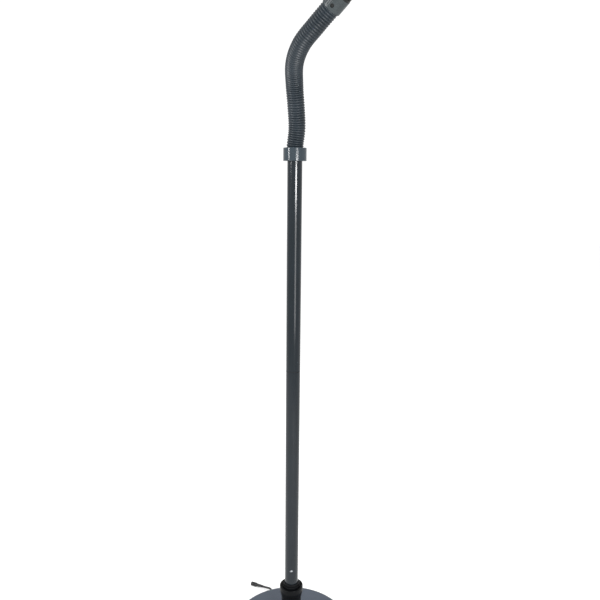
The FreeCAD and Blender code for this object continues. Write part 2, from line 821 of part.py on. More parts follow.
def head_knuckle():
    """Tongue between the ears, and the pin that the head turns on."""
    flange_low = boss_face - 4.3
    tongue = cylinder(d.tongue_dia / 2, tongue_half * 2, (-tongue_half, 0, 0), ALONG_X)
    neck = box((-tongue_half, -d.tongue_dia / 2, 0),
               (tongue_half * 2, d.tongue_dia, flange_low + 0.5))
    crop = cylinder(tongue_half + 2.6, 60, (0, 0, -30))
    flange = cylinder(12.0, 4.0, (0, 0, flange_low))
    pin = cylinder(stub_radius, d.head_reach + 14 - boss_face + 4, (0, 0, boss_face - 4))
    groove_tool = ring(stub_radius - 0.8, stub_radius + 2, d.head_reach + 9, d.head_reach + 10.3)
    hole = cylinder(d.bolt_dia / 2 + d.run_gap, 60, (-30, 0, 0), ALONG_X)
    solid = fuse(common(fuse(tongue, neck), crop), flange, pin)
    node("head_knuckle", cut(solid, hole, groove_tool), knuckle_frame)


def knuckle_clip():
    low = d.head_reach + 9.05
    clip = ring(stub_radius - 0.75, stub_radius + 1.8, low, low + 1.2)
    gap = box((-2, 4, low - 1), (4, 10, 4))
    node("knuckle_clip", cut(clip, gap), knuckle_frame)


# ---------------------------------------------------------------- head

lens_tube = d.lens_dia / 2 + d.lens_gap
ledge = lens_tube - 2.8
lens_low = -3.0
SCREW_TURNS = (40, 140, 220, 320)
POST_TURNS = (0, 120, 240)
post_circle = lens_tube + (rim - lens_tube) * 0.45
screw_circle = rim - 5.0
inner_wall = lens_tube + d.shell_wall
floor_low = -d.head_drop
board_low = floor_low + 11.0
lid_axis = (73.0, d.head_rise + 4.0)
SWITCH_TURN = 55
switch_radius = 82.0


def head_housing():
    wall = d.shell_wall
    top = d.head_rise
    inner_end = floor_low + d.diffuser_thick - 0.3
    body = turned((
        (rim, floor_low), (rim, top - d.shoulder), (rim - d.shoulder, top), (lens_tube, top),
        (lens_tube, lens_low - 0.5), (ledge, lens_low - 0.5), (ledge, lens_low - 3),
        (lens_tube, lens_low - 3), (lens_tube, inner_end), (inner_wall, inner_end),
        (inner_wall, top - wall), (rim - d.shoulder - wall * 0.4, top - wall),
        (rim - wall, top - d.shoulder - wall * 0.4), (rim - wall, floor_low)))
    round_rim(body, rim, top - d.shoulder, 8.0)
    round_rim(body, rim - d.shoulder, top, 8.0)
    round_rim(body, lens_tube, top, 1.2)
    parts = [body]
    tools = []
    for angle in SCREW_TURNS:
        x, y = polar(screw_circle, angle)
        parts.append(cylinder(2.9, 24, (x, y, floor_low + 0.05)))
        tools.append(cylinder(d.head_screw_dia / 2 + 0.02, 12, (x, y, floor_low)))
    for angle in POST_TURNS:
        x, y = polar(post_circle, angle)
        reach = top - wall - board_low - d.board_thick
        parts.append(cylinder(3.5, reach + 0.5, (x, y, board_low + d.board_thick)))
        tools.append(cylinder(1.3, 8, (x, y, board_low)))
    parts.append(cylinder(12.5, 14.0, (0, rim - 2.0, 0), ALONG_Y))
    tools.append(cylinder(stub_radius + d.run_gap, 30, (0, rim - 8, 0), ALONG_Y))
    pin_y, pin_z = lid_axis
    for side in (-1, 1):
        low = 14.0 if side > 0 else -18.0
        parts.append(box((low, pin_y - 3, top - 1), (4, 6, pin_z - top + 1)))
        parts.append(cylinder(3.0, 4, (low, pin_y, pin_z), ALONG_X))
    tools.append(cylinder(d.lid_pin_dia / 2 + 0.02, 60, (-30, pin_y, pin_z), ALONG_X))
    opening = box((-(d.switch_width - 1.8) / 2, -(d.switch_length - 1.8) / 2, top - 6),
                  (d.switch_width - 1.8, d.switch_length - 1.8, 12))
    tools.append(moved(opening, switch_place()))
    solid = cut(fuse(*parts), *tools)
    node("head_housing", solid, head_frame)


def switch_place():
    turn = Rotation(Vector(0, 0, 1), SWITCH_TURN)
    x, y = polar(switch_radius, SWITCH_TURN)
    return Placement(Vector(x, y, 0), turn)


def switch_frame():
    top = d.head_rise
    flange = box((-d.switch_width / 2, -d.switch_length / 2, top + 0.02),
                 (d.switch_width, d.switch_length, 1.8))
    body = box((-(d.switch_width - 2) / 2, -(d.switch_length - 2) / 2, top - 13),
               (d.switch_width - 2, d.switch_length - 2, 13.5))
    well = box((-(d.switch_width - 4.4) / 2, -(d.switch_length - 5) / 2, top - 9),
               (d.switch_width - 4.4, d.switch_length - 5, 20))
    pivot_hole = cylinder(1.25, 40, (-20, 0, top - 2), ALONG_X)
    node("switch_frame", cut(fuse(flange, body), well, pivot_hole),
         head_frame.multiply(switch_place()))


def switch_rocker():
    """Rocker with a dished top, resting with one end down."""
    width = d.switch_width - 5.2
    reach = (d.switch_length - 5) / 2 - 1.0
    points = ((-reach, 5.2), (-reach, 2.0), (-2.6, -1.9), (2.6, -1.9), (reach, 2.0), (reach, 5.2),
              (0, 4.1))
    body = padded(points, "YZ_Plane", -(width / 2), width)
    pins = cylinder(1.2, 12.4, (-6.2, 0, 0), ALONG_X)
    rest_tilt = Rotation(Vector(1, 0, 0), -8)
    raised = Placement(Vector(0, 0, float(d.head_rise) - 2.0), rest_tilt)
    frame = head_frame.multiply(switch_place()).multiply(raised)
    node("switch_rocker", fuse(body, pins), frame)


def head_bezel():
    low = floor_low - d.bezel_thick
    inner = rim - d.bezel_width
    lip = rim - d.shell_wall - 0.1
    shelf = inner + 2.6
    body = turned((
        (inner, low), (rim, low), (rim, floor_low - 0.05), (lip, floor_low - 0.05),
        (lip, floor_low + 2.5), (lip - 1.2, floor_low + 2.5), (lip - 1.2, floor_low - 0.05),
        (shelf, floor_low - 0.05), (shelf, floor_low - 0.5), (inner, floor_low - 0.5)))
    round_rim(body, rim, low, 1.4)
    tools = []
    for angle in SCREW_TURNS:
        x, y = polar(screw_circle, angle)
        tools.append(cylinder(3.0, 6, (x, y, floor_low - 0.05)))
        tools.append(cylinder(d.head_screw_dia / 2 + 0.1, 8, (x, y, low - 1)))
        tools.append(cylinder(2.35, 1.3, (x, y, low - 0.1)))
    node("head_bezel", cut(body, *tools), head_frame)


def head_screws():
    low = floor_low - d.bezel_thick
    screws = []
    for angle in SCREW_TURNS:
        x, y = polar(screw_circle, angle)
        head = cylinder(2.25, 1.1, (x, y, low + 0.1))
        shank = cylinder(d.head_screw_dia / 2, 11, (x, y, low + 1.2))
        slot_a = box((x - 1.6, y - 0.25, low), (3.2, 0.5, 0.8))
        slot_b = box((x - 0.25, y - 1.6, low), (0.5, 3.2, 0.8))
        screws.append(cut(fuse(head, shank), slot_a, slot_b))
    node("head_screws", group(*screws), head_frame)


def lens():
    """Biconvex lens: two spherical faces meeting a plain rim."""
    radius = d.lens_dia / 2
    sag = float(d.lens_curve) - math.sqrt(float(d.lens_curve) ** 2 - float(radius) ** 2)
    drop = (d.lens_curve * d.lens_curve - radius * radius).text
    middle = lens_low + d.lens_edge / 2
    half_gap = Size(float(d.lens_curve) - sag, f"sqrt({drop})") - d.lens_edge / 2
    disc = cylinder(radius, 40, (0, 0, -20))
    upper = sphere(d.lens_curve, (0, 0, middle - half_gap))
    lower = sphere(d.lens_curve, (0, 0, middle + half_gap))
    node("lens", common(disc, upper, lower), head_frame)


def lens_ring():
    low = lens_low + d.lens_edge + 0.55
    outer = lens_tube - 0.1
    node("lens_ring", ring(outer - 3.0, outer, low, low + 5), head_frame)


def diffuser():
    low = floor_low - 0.45
    outer = rim - d.bezel_width + 2.5
    node("diffuser", ring(lens_tube, outer, low, low + d.diffuser_thick), head_frame)


def led_board():
    """Ring board with two rows of small emitters soldered under it."""
    outer = rim - 9.0
    inner = inner_wall + 2.0
    board = ring(inner, outer, board_low, board_low + d.board_thick)
    holes = []
    for angle in POST_TURNS:
        x, y = polar(post_circle, angle)
        holes.append(cylinder(1.4, 10, (x, y, board_low - 4)))
    chips = []
    for radius, count in ((inner + 5.0, 24), (outer - 5.0, 30)):
        for number in range(count):
            turn = 360.0 * (number + 0.5) / count
            chip = box((radius - 1.4, -1.75, board_low - 0.9), (2.8, 3.5, 0.95))
            chips.append(moved(chip, turned_to(turn)))
    node("led_board", fuse(cut(board, *holes), *chips), head_frame)


def board_screws():
    screws = []
    for angle in POST_TURNS:
        x, y = polar(post_circle, angle)
        head = cylinder(2.4, 1.4, (x, y, board_low - 1.45))
        shank = cylinder(1.25, 7, (x, y, board_low - 0.1))
        screws.append(fuse(head, shank))
    node("board_screws", group(*screws), head_frame)


def driver_box():
    """Encapsulated driver under the housing's top, opposite the knuckle."""
    top = d.head_rise - d.shell_wall
    node("driver_box", box((-28, -(post_circle + 5), top - 12.05), (56, 16, 12)), head_frame)


def lens_cover():
    """Hinged lid over the lens, with a tab between the housing's lugs."""
    low = d.head_rise + 0.4
    outer = lens_tube + 4.2
    high = low + 1.2 + d.lid_thick
    body = turned(((0, low + 1.2), (outer - 2.2, low + 1.2), (outer - 2.2, low), (outer, low),
                   (outer, high - 0.9), (outer - 9, high), (0, high)))
    pin_y, pin_z = lid_axis
    arm = box((-13.6, outer - 8, low + 1.2), (27.2, pin_y - outer + 8, 2.2))
    knuckle = cylinder(2.8, 27.2, (-13.6, pin_y, pin_z), ALONG_X)
    tab = box((-9, -(outer + 5), low + 1.2), (18, 8, 1.4))
    hole = cylinder(d.lid_pin_dia / 2 + d.run_gap, 60, (-30, pin_y, pin_z), ALONG_X)
    node("lens_cover", cut(fuse(body, arm, knuckle, tab), hole), head_frame)


def lid_pin():
    pin_y, pin_z = lid_axis
    node("lid_pin", cylinder(d.lid_pin_dia / 2, 36.6, (-18.3, pin_y, pin_z), ALONG_X), head_frame)


# ---------------------------------------------------------------- cables

# The strain relief's inner end, counted outwards from the cover's side.
RELIEF_INNER = -4.2

def swept_round(points, bend_radius, radius):
    """A round tube along straight runs joined by tangent arcs; returns it and its length."""
    points = [Vector(*point) for point in points]
    edges = []
    start = points[0]
    for before, corner, after in zip(points, points[1:], points[2:]):
        back = (before - corner).normalize()
        ahead = (after - corner).normalize()
        turn = math.pi - back.getAngle(ahead)
        bend = bend_radius
        if bend is None:
            shorter = min((before - corner).Length, (after - corner).Length)
            bend = 0.45 * shorter / math.tan(turn / 2)
            print(f"cord bend radius {bend:.1f} mm")
        offset = bend * math.tan(turn / 2)
        enter = corner + back * offset
        leave = corner + ahead * offset
        inward = (back + ahead).normalize()
        centre = corner + inward * (bend / math.cos(turn / 2))
        middle = centre - inward * bend
        edges.append(Part.LineSegment(start, enter).toShape())
        edges.append(Part.Arc(enter, middle, leave).toShape())
        start = leave
    edges.append(Part.LineSegment(start, points[-1]).toShape())
    path = Part.Wire(edges)
    circle = Part.Circle(points[0], (points[1] - points[0]).normalize(), float(radius))
    section = Part.Wire([circle.toShape()])
    tube = path.makePipeShell([section], True, False)
    expected = math.pi * float(radius) ** 2 * path.Length
    print(f"tube volume / section x length {tube.Volume / expected:.4f}, length {path.Length:.1f}")
    return tube, path.Length


def tube_feature(name, points, bend_radius, radius):
    obj = doc.addObject("Part::Feature", "Sweep")
    obj.Shape = swept_round(points, bend_radius, radius)[0]
    obj.Label = name
    NODES[name] = obj


def inner_cable():
    """Cable held inside the base and the pole, from the strain relief to the swivel."""
    start = [float(value) for value in along_exit(RELIEF_INNER)]
    route = (start, (0, 0, float(d.exit_height)), (0, 0, float(tube_end) + 4))
    tube_feature("inner_cable", route, float(d.cable_bend), d.cable_dia / 2)


def cord_points():
    x, y, _ = [float(value) for value in along_exit(0)]
    return [(x + dx, y + dy, z) for dx, dy, z in CORD_ROUTE]


def power_cord():
    tube_feature("power_cord", cord_points(), None, d.cord_dia / 2)


def cord_grommet():
    """Strain relief: a neck in the cover's wall, a flange inside and a tapered tail."""
    wall = d.cover_wall
    neck = cylinder(relief_radius, wall + 2, along_exit(-wall - 1), exit_turn)
    flange = cylinder(4.3, -wall - 0.15 - RELIEF_INNER, along_exit(RELIEF_INNER), exit_turn)
    shoulder = cylinder(4.4, 1.4, along_exit(0.2), exit_turn)
    tail = cone(relief_radius, d.cord_dia / 2 + 0.5, d.relief_length - 1, along_exit(1), exit_turn)
    node("cord_grommet", fuse(neck, flange, shoulder, tail))


def cord_connector():
    """Moulded in-line supply socket at the end of the short lead."""
    before, start = [Vector(*point) for point in cord_points()[-2:]]
    frame = frame_along(start, start - before)
    outer = d.connector_dia / 2
    tail = 14.0
    body = turned(((0, 0), (d.cord_dia / 2 + 0.4, 0), (outer - 0.9, tail), (outer, tail + 1),
                   (outer, d.connector_length), (2.8, d.connector_length),
                   (2.8, d.connector_length - 9), (0, d.connector_length - 9)))
    round_rim(body, outer, d.connector_length, 0.6)
    contact = cylinder(0.9, 8.0, (0, 0, d.connector_length - 9.2))
    node("cord_connector", fuse(body, contact), frame)


# ---------------------------------------------------------------- build, check and write

def build():
    for make in (base_pad, base_plate, base_screws, base_weight, base_cover,
                 hub_socket, hub_spigot, hub_nipple, hub_nut, hub_washer, pole_ring,
                 lower_tube, tube_coupler, upper_tube, snap_button, snap_spring,
                 collar, collar_screw, collar_bush, neck_stub, stub_circlip, neck_links,
                 ferrule, ferrule_screw, head_fork, tilt_bolt, tilt_washers, tilt_knob,
                 head_knuckle, knuckle_clip,
                 head_housing, head_bezel, head_screws, lens, lens_ring, diffuser,
                 led_board, board_screws, driver_box, switch_frame, switch_rocker,
                 lens_cover, lid_pin,
                 inner_cable, power_cord, cord_grommet, cord_connector):
        make()
    doc.recompute()


def check():
    faults = []
    for obj in doc.Objects:
        if "Invalid" in obj.State or "Error" in obj.State:
            faults.append(f"{obj.Name} is {obj.State}")
    for name, obj in NODES.items():
        shape = obj.Shape
        if shape.isNull() or not shape.isValid() or shape.Volume <= 0:
            faults.append(f"{name} has no valid solid")
    if faults:
        raise RuntimeError("; ".join(faults))


def write():
    os.makedirs("parts", exist_ok=True)
    for name, obj in NODES.items():
        obj.Shape.exportStep(os.path.join("parts", name + ".step"))
    print(f"{len(NODES)} nodes written")


build()
check()
write()
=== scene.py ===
"""Looks of the floor-standing magnifying lamp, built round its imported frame. Metres, +Z up."""
import bmesh
import bpy
import json
import math
from mathutils import Matrix, Vector


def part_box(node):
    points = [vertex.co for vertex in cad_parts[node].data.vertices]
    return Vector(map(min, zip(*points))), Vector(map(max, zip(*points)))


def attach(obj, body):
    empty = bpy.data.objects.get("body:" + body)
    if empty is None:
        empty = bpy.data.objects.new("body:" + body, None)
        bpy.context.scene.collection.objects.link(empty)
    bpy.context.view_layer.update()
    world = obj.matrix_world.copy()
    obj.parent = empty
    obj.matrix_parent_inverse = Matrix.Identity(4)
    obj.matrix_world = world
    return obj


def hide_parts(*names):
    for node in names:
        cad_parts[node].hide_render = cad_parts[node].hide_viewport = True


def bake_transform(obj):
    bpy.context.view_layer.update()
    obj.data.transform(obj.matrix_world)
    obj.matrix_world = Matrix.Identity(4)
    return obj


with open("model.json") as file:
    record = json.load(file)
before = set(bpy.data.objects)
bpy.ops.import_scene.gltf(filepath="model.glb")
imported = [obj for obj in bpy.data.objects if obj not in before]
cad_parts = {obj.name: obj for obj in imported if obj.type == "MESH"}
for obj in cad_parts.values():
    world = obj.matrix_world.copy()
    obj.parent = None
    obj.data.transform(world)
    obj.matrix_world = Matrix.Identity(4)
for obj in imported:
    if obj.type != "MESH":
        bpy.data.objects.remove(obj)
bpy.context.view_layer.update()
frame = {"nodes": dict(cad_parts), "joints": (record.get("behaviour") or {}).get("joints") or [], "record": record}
NODES = frame["nodes"]
JOINTS = {joint["name"]: joint for joint in frame["joints"]}
MM = 0.001


# ---------------------------------------------------------------- materials

def srgb(code):
    """Linear colour from an sRGB hex value."""
    channels = [int(code[k:k + 2], 16) / 255 for k in (1, 3, 5)]
    return tuple(c / 12.92 if c <= 0.04045 else ((c + 0.055) / 1.055) ** 2.4
                 for c in channels) + (1.0,)


def add(tree, kind, settings=None, **inputs):
    """A shader node with its settings; each input is a value or another node's output."""
    made = tree.nodes.new(kind)
    for name, value in (settings or {}).items():
        setattr(made, name, value)
    for name, value in inputs.items():
        socket = made.inputs[int(name[1:])] if name[1:].isdigit() else made.inputs[
            name.replace("_", " ").title().replace("Ior", "IOR")]
        if isinstance(value, bpy.types.NodeSocket):
            tree.links.new(value, socket)
        else:
            socket.default_value = value
    return made


def ramp(tree, factor, *stops):
    """A colour ramp through (position, hex colour) stops."""
    made = add(tree, "ShaderNodeValToRGB", Fac=factor)
    elements = made.color_ramp.elements
    while len(elements) < len(stops):
        elements.new(0.5)
    for element, (position, code) in zip(elements, stops):
        element.position = position
        element.color = srgb(code)
    return made.outputs["Color"]


def finish(name, **surface):
    """A material whose surface is one Principled shader; returns it, its tree and the shader."""
    material = bpy.data.materials.new(name)
    material.use_nodes = True
    tree = material.node_tree
    tree.nodes.clear()
    shader = add(tree, "ShaderNodeBsdfPrincipled", **surface)
    output = tree.nodes.new("ShaderNodeOutputMaterial")
    tree.links.new(shader.outputs["BSDF"], output.inputs["Surface"])
    return material, tree, shader


def place_of(tree, stretch=(1, 1, 1)):
    """Object coordinates, stretched for a directional pattern."""
    where = add(tree, "ShaderNodeTexCoord")
    mapping = add(tree, "ShaderNodeMapping", Vector=where.outputs["Object"], Scale=stretch)
    return mapping.outputs["Vector"]


def noise(tree, where, size, detail=3.0, roughness=0.5):
    """Noise whose blotches are about the given size in metres."""
    made = add(tree, "ShaderNodeTexNoise", Vector=where, Scale=1 / size, Detail=detail,
               Roughness=roughness)
    return made.outputs["Fac"]


def spread(tree, factor, low, high):
    """A factor mapped to a span of values."""
    made = add(tree, "ShaderNodeMapRange", Value=factor, i3=low, i4=high)
    return made.outputs["Result"]


def relief(tree, shader, factor, depth):
    """Bump of a real depth in metres."""
    bump = add(tree, "ShaderNodeBump", Height=factor, Distance=depth, Strength=1.0)
    tree.links.new(bump.outputs["Normal"], shader.inputs["Normal"])


def moulded(name, dark, light, rough=(0.3, 0.42), gloss=0.3, grain=0.8 * MM):
    """Injection-moulded plastic: a fine spark-eroded grain and slow shifts of tone."""
    material, tree, shader = finish(name, IOR=1.5, Specular_IOR_Level=gloss)
    where = place_of(tree)
    slow = noise(tree, where, 45 * MM, 4.0)
    tree.links.new(ramp(tree, slow, (0.3, dark), (0.7, light)), shader.inputs["Base Color"])
    fine = noise(tree, where, grain, 2.0, 0.6)
    scuffs = noise(tree, where, 9 * MM, 6.0, 0.7)
    tree.links.new(spread(tree, scuffs, *rough), shader.inputs["Roughness"])
    relief(tree, shader, fine, 0.008 * MM)
    return material


def painted(name, dark, light, rough=(0.1, 0.17), gloss=0.25):
    """Stoved gloss paint on steel tube, with slight orange peel."""
    material, tree, shader = finish(name, IOR=1.5, Specular_IOR_Level=gloss)
    where = place_of(tree)
    slow = noise(tree, where, 60 * MM, 3.0)
    tree.links.new(ramp(tree, slow, (0.3, dark), (0.7, light)), shader.inputs["Base Color"])
    peel = noise(tree, where, 1.6 * MM, 1.0)
    wear = noise(tree, where, 14 * MM, 6.0, 0.65)
    tree.links.new(spread(tree, wear, *rough), shader.inputs["Roughness"])
    relief(tree, shader, peel, 0.003 * MM)
    return material


def metal(name, dark, light, rough=(0.22, 0.38), stretch=(1, 1, 14), grain=2 * MM):
    """Machined or plated steel: fine lines of the tool and small changes of gloss."""
    material, tree, shader = finish(name, Metallic=1.0)
    where = place_of(tree, stretch)
    lines = noise(tree, where, grain, 6.0, 0.65)
    tree.links.new(ramp(tree, lines, (0.3, dark), (0.7, light)), shader.inputs["Base Color"])
    tree.links.new(spread(tree, lines, *rough), shader.inputs["Roughness"])
    relief(tree, shader, lines, 0.01 * MM)
    return material


def cast(name, dark, light):
    """Sand-cast iron: coarse pitted skin, dull."""
    material, tree, shader = finish(name, Metallic=0.85)
    where = place_of(tree)
    skin = noise(tree, where, 1.5 * MM, 8.0, 0.7)
    tree.links.new(ramp(tree, skin, (0.35, dark), (0.65, light)), shader.inputs["Base Color"])
    tree.links.new(spread(tree, skin, 0.55, 0.85), shader.inputs["Roughness"])
    relief(tree, shader, skin, 0.25 * MM)
    return material


def rubber(name, dark, light, grain=0.5 * MM, depth=0.04 * MM):
    """Soft rubber or PVC: dull, finely pebbled, with a dusty sheen."""
    material, tree, shader = finish(name, IOR=1.5, Sheen_Weight=0.06)
    where = place_of(tree)
    dust = noise(tree, where, 22 * MM, 5.0)
    tree.links.new(ramp(tree, dust, (0.35, dark), (0.7, light)), shader.inputs["Base Color"])
    tree.links.new(spread(tree, dust, 0.5, 0.68), shader.inputs["Roughness"])
    relief(tree, shader, noise(tree, where, grain, 2.0), depth)
    return material


def opal(name):
    """Opal acrylic over the emitters: white, slightly see-through, softly lit from inside."""
    material, tree, shader = finish(name, IOR=1.49, Subsurface_Weight=0.35,
                                    Subsurface_Scale=4 * MM, Emission_Strength=0.25)
    where = place_of(tree)
    milk = noise(tree, where, 12 * MM, 2.0)
    white = ramp(tree, milk, (0.3, "#E9ECEE"), (0.7, "#F7F8F8"))
    tree.links.new(white, shader.inputs["Base Color"])
    tree.links.new(white, shader.inputs["Emission Color"])
    tree.links.new(spread(tree, milk, 0.3, 0.4), shader.inputs["Roughness"])
    relief(tree, shader, noise(tree, where, 0.7 * MM, 1.0), 0.03 * MM)
    return material


def lens_glass(name):
    """Ground and polished crown glass with a faint green in its thickness."""
    material, tree, shader = finish(name, IOR=1.52, Transmission_Weight=1.0)
    where = place_of(tree)
    smears = noise(tree, where, 18 * MM, 5.0, 0.6)
    tree.links.new(ramp(tree, smears, (0.3, "#EAF5F1"), (0.7, "#F6FBF9")),
                   shader.inputs["Base Color"])
    tree.links.new(spread(tree, smears, 0.0, 0.03), shader.inputs["Roughness"])
    return material


def circuit(name):
    """White solder mask on a glass-fibre ring board."""
    material, tree, shader = finish(name, IOR=1.5, Coat_Weight=0.3, Coat_Roughness=0.2)
    where = place_of(tree)
    weave = noise(tree, where, 1.2 * MM, 2.0)
    tree.links.new(ramp(tree, weave, (0.3, "#DADFD6"), (0.7, "#EDF0E6")),
                   shader.inputs["Base Color"])
    tree.links.new(spread(tree, weave, 0.35, 0.5), shader.inputs["Roughness"])
    relief(tree, shader, weave, 0.03 * MM)
    return material


FINISHES = {
    "base_shell": moulded("moulded slate ABS", "#383F49", "#3E4550", (0.34, 0.44)),
    "hub_black": moulded("moulded black ABS", "#08090A", "#0C0D0F", (0.3, 0.42), 0.08),
    "trim_black": moulded("matt black nylon", "#0B0B0C", "#121314", (0.45, 0.58), 0.15),
    "pole_paint": painted("stoved charcoal paint on steel tube", "#0F1519", "#13191E"),
    "collar_grey": moulded("polished dark grey ABS", "#232B31", "#293238", (0.11, 0.17)),
    "sleeve_grey": moulded("extruded dark grey PVC sleeve", "#1A2025", "#22292F",
                           (0.34, 0.46), 0.25),
    "ferrule_grey": moulded("moulded charcoal ABS", "#2A2F31", "#313739", (0.32, 0.42), 0.25),
    "steel": metal("turned steel", "#A7A9AC", "#C2C4C6"),
    "zinc": metal("bright zinc plating on steel", "#75787B", "#8C8F92", (0.12, 0.24)),
    "black_steel": painted("black phosphate steel", "#0D0E0F", "#151617", (0.34, 0.46)),
    "iron": cast("sand-cast iron", "#2B2B2D", "#3E3E40"),
    "head_shell": moulded("moulded grey ABS", "#474C53", "#4F545B", (0.32, 0.44)),
    "lens_glass": lens_glass("polished crown glass"),
    "diffuser_white": opal("opal acrylic"),
    "board_white": circuit("white solder mask"),
    "pad_rubber": rubber("ribbed rubber", "#121213", "#1C1C1E"),
    "nylon": moulded("natural nylon", "#D6D4C8", "#E2E0D6", (0.35, 0.5)),
    "cord_black": rubber("black PVC sheath", "#0C0C0D", "#151517"),
}

SLOT_OF = {entry["node"]: entry["material_slot"] for entry in frame["record"]["subparts"]}

for name, item in NODES.items():
    item.data.materials.clear()
    item.data.materials.append(FINISHES[SLOT_OF[name]])


# ---------------------------------------------------------------- shaping helpers

CREASE = math.radians(60)
BAND_DEPTH = 0.4 * MM
BAND_PROUD = 0.05 * MM
BAND_SIDES = 144


def settle(name, shape, slot, body, *replaced):
    """Make a piece of a finished bmesh, give it its finish and let it ride on its body."""
    mesh = bpy.data.meshes.new(name)
    shape.to_mesh(mesh)
    shape.free()
    for polygon in mesh.polygons:
        polygon.use_smooth = True
    mesh.materials.append(FINISHES[slot])
    piece = bpy.data.objects.new(name, mesh)
    bpy.context.scene.collection.objects.link(piece)
    if body:
        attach(piece, body)
    if replaced:
        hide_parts(*replaced)
    return piece


def turned(profile, steps):
    """Spin a closed (radius, height) profile about Z into a skin."""
    shape = bmesh.new()
    verts = [shape.verts.new((radius, 0, height)) for radius, height in profile]
    edges = [shape.edges.new(pair) for pair in zip(verts, verts[1:] + verts[:1])]
    bmesh.ops.spin(shape, geom=verts + edges, cent=(0, 0, 0), axis=(0, 0, 1), dvec=(0, 0, 0),
                   angle=math.tau, steps=steps, use_merge=True, use_duplicate=False)
    bmesh.ops.remove_doubles(shape, verts=shape.verts, dist=1e-7)
    bmesh.ops.recalc_face_normals(shape, faces=shape.faces)
    for edge in shape.edges:
        edge.smooth = edge.calc_face_angle(0) < CREASE
    return shape


def band(name, radius, low, high, slot, body, place=Matrix()):
    """A thin ring let into a round face and standing a hair proud of it."""
    inner, outer = radius - BAND_DEPTH, radius + BAND_PROUD
    shape = turned(((inner, low), (outer, low), (outer, high), (inner, high)), BAND_SIDES)
    bmesh.ops.transform(shape, matrix=place, verts=shape.verts)
    return settle(name, shape, slot, body)


# ---------------------------------------------------------------- the neck's sleeve

NECK_BENDS = [JOINTS[f"neck_bend_{k}"] for k in range(1, 7)]
RIB_PITCH = 4 * MM
RIB_CREST = 14.25 * MM
RIB_ROOT = 12.75 * MM
RIB_ROUNDS = 8
RIB_FULLNESS = 0.55
SLEEVE_BORE = 11.55 * MM
BORE_ROUNDS = 12
SLEEVE_SIDES = 56
FERRULE_AND_FORK = 40.5 * MM
FERRULE_DEPTH = 4.5 * MM


def neck_points():
    """The sleeve's foot, the six bends and its end in the ferrule."""
    foot = Vector((0, 0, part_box("neck_stub")[1].z))
    bends = [Vector(joint["pos_m"]) for joint in NECK_BENDS]
    pivot = Vector(JOINTS["head_tilt"]["pos_m"])
    last = pivot - bends[-1]
    end = pivot - last.normalized() * (FERRULE_AND_FORK - FERRULE_DEPTH)
    return [foot] + bends + [end]


class NeckLine:
    """A smooth line through the neck's points, measured along its length."""

    def __init__(self, points, steps=40):
        spans = []
        tangents = [Vector((0, 0, 1))]
        for before, after in zip(points, points[2:]):
            tangents.append((after - before).normalized())
        tangents.append((points[-1] - points[-2]).normalized())
        self.places = [points[0]]
        self.knots = [0.0]
        for k, (start, end) in enumerate(zip(points, points[1:])):
            reach = (end - start).length / 3
            for step in range(1, steps + 1):
                t = step / steps
                a, b = start + tangents[k] * reach, end - tangents[k + 1] * reach
                u = 1 - t
                self.places.append(start * u ** 3 + a * 3 * u * u * t + b * 3 * u * t * t
                                   + end * t ** 3)
            spans.append(len(self.places) - 1)
        self.lengths = [0.0]
        for before, after in zip(self.places, self.places[1:]):
            self.lengths.append(self.lengths[-1] + (after - before).length)
        self.knots += [self.lengths[index] for index in spans]
        self.frames = []
        side = Vector((1, 0, 0))
        for index, place in enumerate(self.places):
            ahead = self.places[min(index + 1, len(self.places) - 1)]
            behind = self.places[max(index - 1, 0)]
            along = (ahead - behind).normalized()
            side = (side - along * side.dot(along)).normalized()
            self.frames.append((place, side, along.cross(side), along))

    def at(self, distance):
        """Place and axes at a distance along the line."""
        distance = min(max(distance, 0.0), self.lengths[-1])
        index = next(k for k in range(1, len(self.lengths)) if self.lengths[k] >= distance)
        span = self.lengths[index] - self.lengths[index - 1]
        t = (distance - self.lengths[index - 1]) / span
        return [a.lerp(b, t) for a, b in zip(self.frames[index - 1], self.frames[index])]


NECK = NeckLine(neck_points())


def rib_profile(start, end):
    """Outer rings of the sleeve: broad round crests with narrow grooves between them."""
    points = []
    first = math.ceil(start / (RIB_PITCH / RIB_ROUNDS) - 1e-6)
    last = math.floor(end / (RIB_PITCH / RIB_ROUNDS) + 1e-6)
    for number in range(first, last + 1):
        wave = 0.5 - 0.5 * math.cos(math.tau * number / RIB_ROUNDS)
        points.append((RIB_ROOT + (RIB_CREST - RIB_ROOT) * wave ** RIB_FULLNESS,
                       number * RIB_PITCH / RIB_ROUNDS))
    return points


def sleeve_piece(start, end):
    """A stretch of sleeve along the neck's line, from one mid-link to the next."""
    outer = rib_profile(start, end)
    bottom, top = outer[0][1], outer[-1][1]
    inner = [(SLEEVE_BORE, top - (top - bottom) * k / BORE_ROUNDS)
             for k in range(BORE_ROUNDS + 1)]
    shape = turned(outer + inner, SLEEVE_SIDES)
    for vert in shape.verts:
        place, side, other, along = NECK.at(vert.co.z)
        vert.co = place + side * vert.co.x + other * vert.co.y
    return shape


def neck_sleeve():
    """The sleeve in lengths, cut in a groove midway between bends and blended over each bend."""
    middles = [0.0]
    for before, after in zip(NECK.knots, NECK.knots[1:]):
        middles.append(round((before + after) / 2 / RIB_PITCH) * RIB_PITCH)
    middles.append(NECK.lengths[-1])
    for number, (start, end) in enumerate(zip(middles, middles[1:])):
        shape = sleeve_piece(start, end)
        name = f"neck_sleeve_{number}"
        if number == 0:
            settle(name, shape, "sleeve_grey", "neck_foot", "hose_0")
        elif number > len(NECK_BENDS):
            settle(name, shape, "sleeve_grey", "neck_6")
        else:
            piece = settle(name, shape, "sleeve_grey", None, f"hose_{number}")
            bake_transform(piece)


neck_sleeve()


# ---------------------------------------------------------------- supply lead

